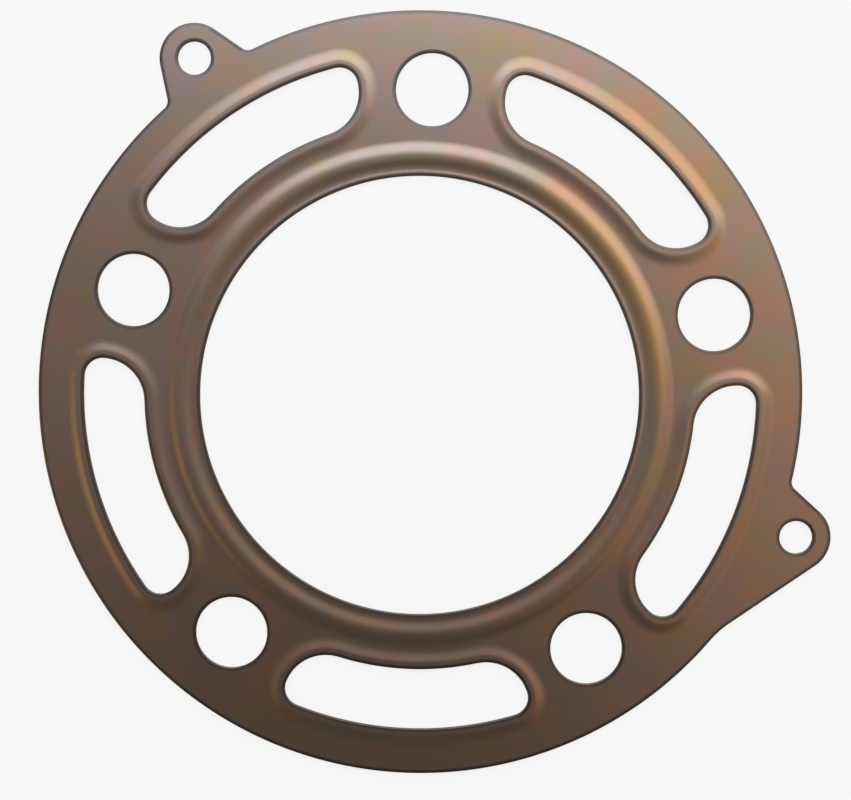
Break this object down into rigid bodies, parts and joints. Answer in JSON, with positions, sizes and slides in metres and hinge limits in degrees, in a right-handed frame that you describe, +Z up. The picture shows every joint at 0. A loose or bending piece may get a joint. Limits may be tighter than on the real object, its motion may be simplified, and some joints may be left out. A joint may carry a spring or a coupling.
{
  "type": "cylinder head gasket",
  "caption": "Flat embossed steel head gasket with a beaded bore, beaded coolant slots, stud holes and eyes on its rim.",
  "frame": {"origin": "on the bore's axis, in the plane of the sheet's flat underside", "axes": "+Z up along the bore's axis, out of the side that the beads stand on; +Y through one of the stud holes"},
  "size_m": [0.1001, 0.0956, 0.0007],
  "materials": {
    "coated_steel": "satin"
  },
  "bodies": {
    "root": {"gasket_sheet": "coated_steel"}
  },
  "joints": []
}
